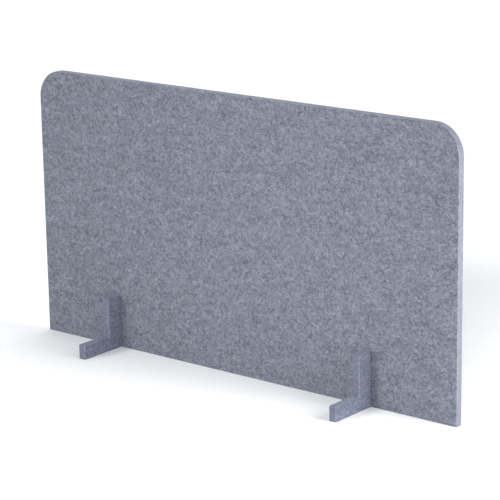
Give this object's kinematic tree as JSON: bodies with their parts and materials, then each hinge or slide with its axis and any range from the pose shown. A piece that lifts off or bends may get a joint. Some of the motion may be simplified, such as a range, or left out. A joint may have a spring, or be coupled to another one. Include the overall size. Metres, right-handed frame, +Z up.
{
  "type": "desk privacy panel",
  "caption": "Free-standing grey felt desk privacy panel with rounded top corners, held upright by slotted inverted-T felt feet that cross it near its ends.",
  "frame": {"origin": "middle of the panel's bottom edge, on the desk surface", "axes": "+X along the panel, +Y through the panel from one user to the other, +Z up"},
  "size_m": [1.2, 0.275, 0.65],
  "materials": {
    "panel_felt": "needled polyester felt board, heathered blue-grey, matt",
    "foot_felt": "the same felt board, cut edges showing its pressed layers, matt"
  },
  "bodies": {
    "foot_left": {"foot_left": "foot_felt"},
    "panel": {"panel": "panel_felt"},
    "foot_right": {"foot_right": "foot_felt"}
  },
  "joints": [
    {"name": "panel_lift", "type": "slide", "parent": "foot_left", "child": "panel", "axis": [0, 0, 1], "range_m": [0, 0.14]},
    {"name": "foot_right_pull", "type": "slide", "parent": "panel", "child": "foot_right", "axis": [0, 0, -1], "range_m": [0, 0.14]}
  ],
  "couplings": [
    {"joint": "foot_right_pull", "follows": "panel_lift", "ratio": 1}
  ]
}
